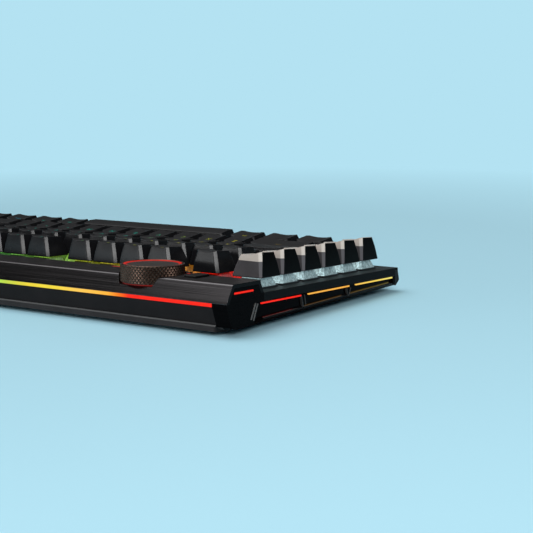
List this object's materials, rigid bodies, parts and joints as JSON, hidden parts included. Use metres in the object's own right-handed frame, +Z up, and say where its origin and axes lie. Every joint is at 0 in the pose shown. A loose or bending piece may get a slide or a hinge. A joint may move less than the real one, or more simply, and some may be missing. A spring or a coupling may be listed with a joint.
{
  "type": "mechanical keyboard",
  "caption": "Full-size keyboard with a macro key column, floating keycaps on clear switches, a rear control bar with a knurled wheel, and light strips along its edges.",
  "frame": {"origin": "middle of the keyboard's outline, at the level of the desk", "axes": "+X to the keyboard's right, +Y to its rear (the control bar), +Z up from the desk"},
  "size_m": [0.47, 0.1619, 0.0366],
  "materials": {
    "case_plastic": "fine satin",
    "deck_metal": "brushed, anodised black",
    "gloss_black": "gloss",
    "light_guide": "lit, frosted",
    "red_light": "lit, frosted",
    "board": "solder mask",
    "chip": "satin",
    "switch_base": "satin",
    "clear_housing": "frosted clear, lit",
    "spring_steel": "drawn wire",
    "lamp": "lit",
    "screw_steel": "zinc plated",
    "bracket": "satin",
    "foot_rubber": "matt",
    "keycap": "fine grained",
    "stem": "satin",
    "macro_cap": "satin, silver grey above dark grey",
    "wheel_metal": "diamond knurled, dark",
    "button_metal": "spun, dark",
    "foot_plastic": "satin"
  },
  "bodies": {
    "chassis": {"base_tray": "case_plastic", "deck_plate": "deck_metal", "bar_cover": "deck_metal", "rear_panel": "case_plastic", "end_caps": "gloss_black", "side_trims": "gloss_black", "rear_light": "light_guide", "edge_lights": "light_guide", "status_light": "red_light", "wheel_light_ring": "red_light", "main_board": "board", "bar_board": "board", "board_chips": "chip", "switch_bases": "switch_base", "switch_covers": "clear_housing", "return_springs": "spring_steel", "key_leds": "lamp", "stabiliser_clips": "switch_base", "stabiliser_wires": "spring_steel", "wheel_encoder": "bracket", "roller_bracket": "bracket", "tact_switches": "chip", "case_screws": "screw_steel", "rubber_feet": "foot_rubber", "cable_gland": "foot_rubber"},
    "function_row": {"function_caps": "keycap", "function_stems": "stem"},
    "number_row": {"number_caps": "keycap", "number_stems": "stem"},
    "upper_row": {"upper_caps": "keycap", "upper_stems": "stem"},
    "home_row": {"home_caps": "keycap", "home_stems": "stem"},
    "lower_row": {"lower_caps": "keycap", "lower_stems": "stem"},
    "bottom_row": {"bottom_caps": "keycap", "bottom_stems": "stem"},
    "macro_key_1": {"macro_cap_1": "macro_cap", "macro_stem_1": "stem"},
    "macro_key_2": {"macro_cap_2": "macro_cap", "macro_stem_2": "stem"},
    "macro_key_3": {"macro_cap_3": "macro_cap", "macro_stem_3": "stem"},
    "macro_key_4": {"macro_cap_4": "macro_cap", "macro_stem_4": "stem"},
    "macro_key_5": {"macro_cap_5": "macro_cap", "macro_stem_5": "stem"},
    "macro_key_6": {"macro_cap_6": "macro_cap", "macro_stem_6": "stem"},
    "control_wheel": {"wheel_rim": "wheel_metal", "wheel_glow_ring": "red_light"},
    "wheel_button": {"wheel_button": "button_metal"},
    "volume_roller": {"volume_roller": "wheel_metal"},
    "media_key_1": {"media_key_1": "keycap"},
    "media_key_2": {"media_key_2": "keycap"},
    "media_key_3": {"media_key_3": "keycap"},
    "media_key_4": {"media_key_4": "keycap"},
    "profile_button": {"profile_button": "gloss_black"},
    "left_tilt_foot": {"left_tilt_foot": "foot_plastic"},
    "right_tilt_foot": {"right_tilt_foot": "foot_plastic"}
  },
  "joints": [
    {"name": "function_row_press", "type": "slide", "parent": "chassis", "child": "function_row", "axis": [0, 0.0384, -0.9993], "range_m": [0, 0.004], "stiffness_N_per_m": 1600, "springref_m": -0.003, "deforming": ["return_springs"]},
    {"name": "number_row_press", "type": "slide", "parent": "chassis", "child": "number_row", "axis": [0, 0.0384, -0.9993], "range_m": [0, 0.004], "stiffness_N_per_m": 2100, "springref_m": -0.003},
    {"name": "upper_row_press", "type": "slide", "parent": "chassis", "child": "upper_row", "axis": [0, 0.0384, -0.9993], "range_m": [0, 0.004], "stiffness_N_per_m": 2100, "springref_m": -0.003},
    {"name": "home_row_press", "type": "slide", "parent": "chassis", "child": "home_row", "axis": [0, 0.0384, -0.9993], "range_m": [0, 0.004], "stiffness_N_per_m": 1600, "springref_m": -0.003},
    {"name": "lower_row_press", "type": "slide", "parent": "chassis", "child": "lower_row", "axis": [0, 0.0384, -0.9993], "range_m": [0, 0.004], "stiffness_N_per_m": 1700, "springref_m": -0.003},
    {"name": "bottom_row_press", "type": "slide", "parent": "chassis", "child": "bottom_row", "axis": [0, 0.0384, -0.9993], "range_m": [0, 0.004], "stiffness_N_per_m": 1300, "springref_m": -0.003},
    {"name": "macro_key_1_press", "type": "slide", "parent": "chassis", "child": "macro_key_1", "axis": [0, 0.0384, -0.9993], "range_m": [0, 0.004], "stiffness_N_per_m": 100, "springref_m": -0.003},
    {"name": "macro_key_2_press", "type": "slide", "parent": "chassis", "child": "macro_key_2", "axis": [0, 0.0384, -0.9993], "range_m": [0, 0.004], "stiffness_N_per_m": 100, "springref_m": -0.003},
    {"name": "macro_key_3_press", "type": "slide", "parent": "chassis", "child": "macro_key_3", "axis": [0, 0.0384, -0.9993], "range_m": [0, 0.004], "stiffness_N_per_m": 100, "springref_m": -0.003},
    {"name": "macro_key_4_press", "type": "slide", "parent": "chassis", "child": "macro_key_4", "axis": [0, 0.0384, -0.9993], "range_m": [0, 0.004], "stiffness_N_per_m": 100, "springref_m": -0.003},
    {"name": "macro_key_5_press", "type": "slide", "parent": "chassis", "child": "macro_key_5", "axis": [0, 0.0384, -0.9993], "range_m": [0, 0.004], "stiffness_N_per_m": 100, "springref_m": -0.003},
    {"name": "macro_key_6_press", "type": "slide", "parent": "chassis", "child": "macro_key_6", "axis": [0, 0.0384, -0.9993], "range_m": [0, 0.004], "stiffness_N_per_m": 100, "springref_m": -0.003},
    {"name": "control_wheel_turn", "type": "hinge", "parent": "chassis", "child": "control_wheel", "pos_m": [-0.17585, 0.06427, 0.02508], "axis": [0, -0.0384, 0.9993], "continuous": true},
    {"name": "wheel_button_press", "type": "slide", "parent": "control_wheel", "child": "wheel_button", "axis": [0, 0.0384, -0.9993], "range_m": [0, 0.001], "stiffness_N_per_m": 200, "springref_m": -0.002},
    {"name": "volume_roller_turn", "type": "hinge", "parent": "chassis", "child": "volume_roller", "pos_m": [0.204, 0.06378, 0.02106], "axis": [1, 0, 0], "continuous": true},
    {"name": "media_key_1_press", "type": "slide", "parent": "chassis", "child": "media_key_1", "axis": [0, 0.0384, -0.9993], "range_m": [0, 0.0008], "stiffness_N_per_m": 200, "springref_m": -0.002},
    {"name": "media_key_2_press", "type": "slide", "parent": "chassis", "child": "media_key_2", "axis": [0, 0.0384, -0.9993], "range_m": [0, 0.0008], "stiffness_N_per_m": 200, "springref_m": -0.002},
    {"name": "media_key_3_press", "type": "slide", "parent": "chassis", "child": "media_key_3", "axis": [0, 0.0384, -0.9993], "range_m": [0, 0.0008], "stiffness_N_per_m": 200, "springref_m": -0.002},
    {"name": "media_key_4_press", "type": "slide", "parent": "chassis", "child": "media_key_4", "axis": [0, 0.0384, -0.9993], "range_m": [0, 0.0008], "stiffness_N_per_m": 200, "springref_m": -0.002},
    {"name": "profile_button_press", "type": "slide", "parent": "chassis", "child": "profile_button", "axis": [0, 0.0384, -0.9993], "range_m": [0, 0.0008], "stiffness_N_per_m": 200, "springref_m": -0.002},
    {"name": "left_tilt_foot_fold", "type": "hinge", "parent": "chassis", "child": "left_tilt_foot", "pos_m": [-0.185, 0.0659, 0.0044], "axis": [1, 0, 0], "range_deg": [0, 100]},
    {"name": "right_tilt_foot_fold", "type": "hinge", "parent": "chassis", "child": "right_tilt_foot", "pos_m": [0.185, 0.0659, 0.0044], "axis": [1, 0, 0], "range_deg": [0, 100]}
  ]
}
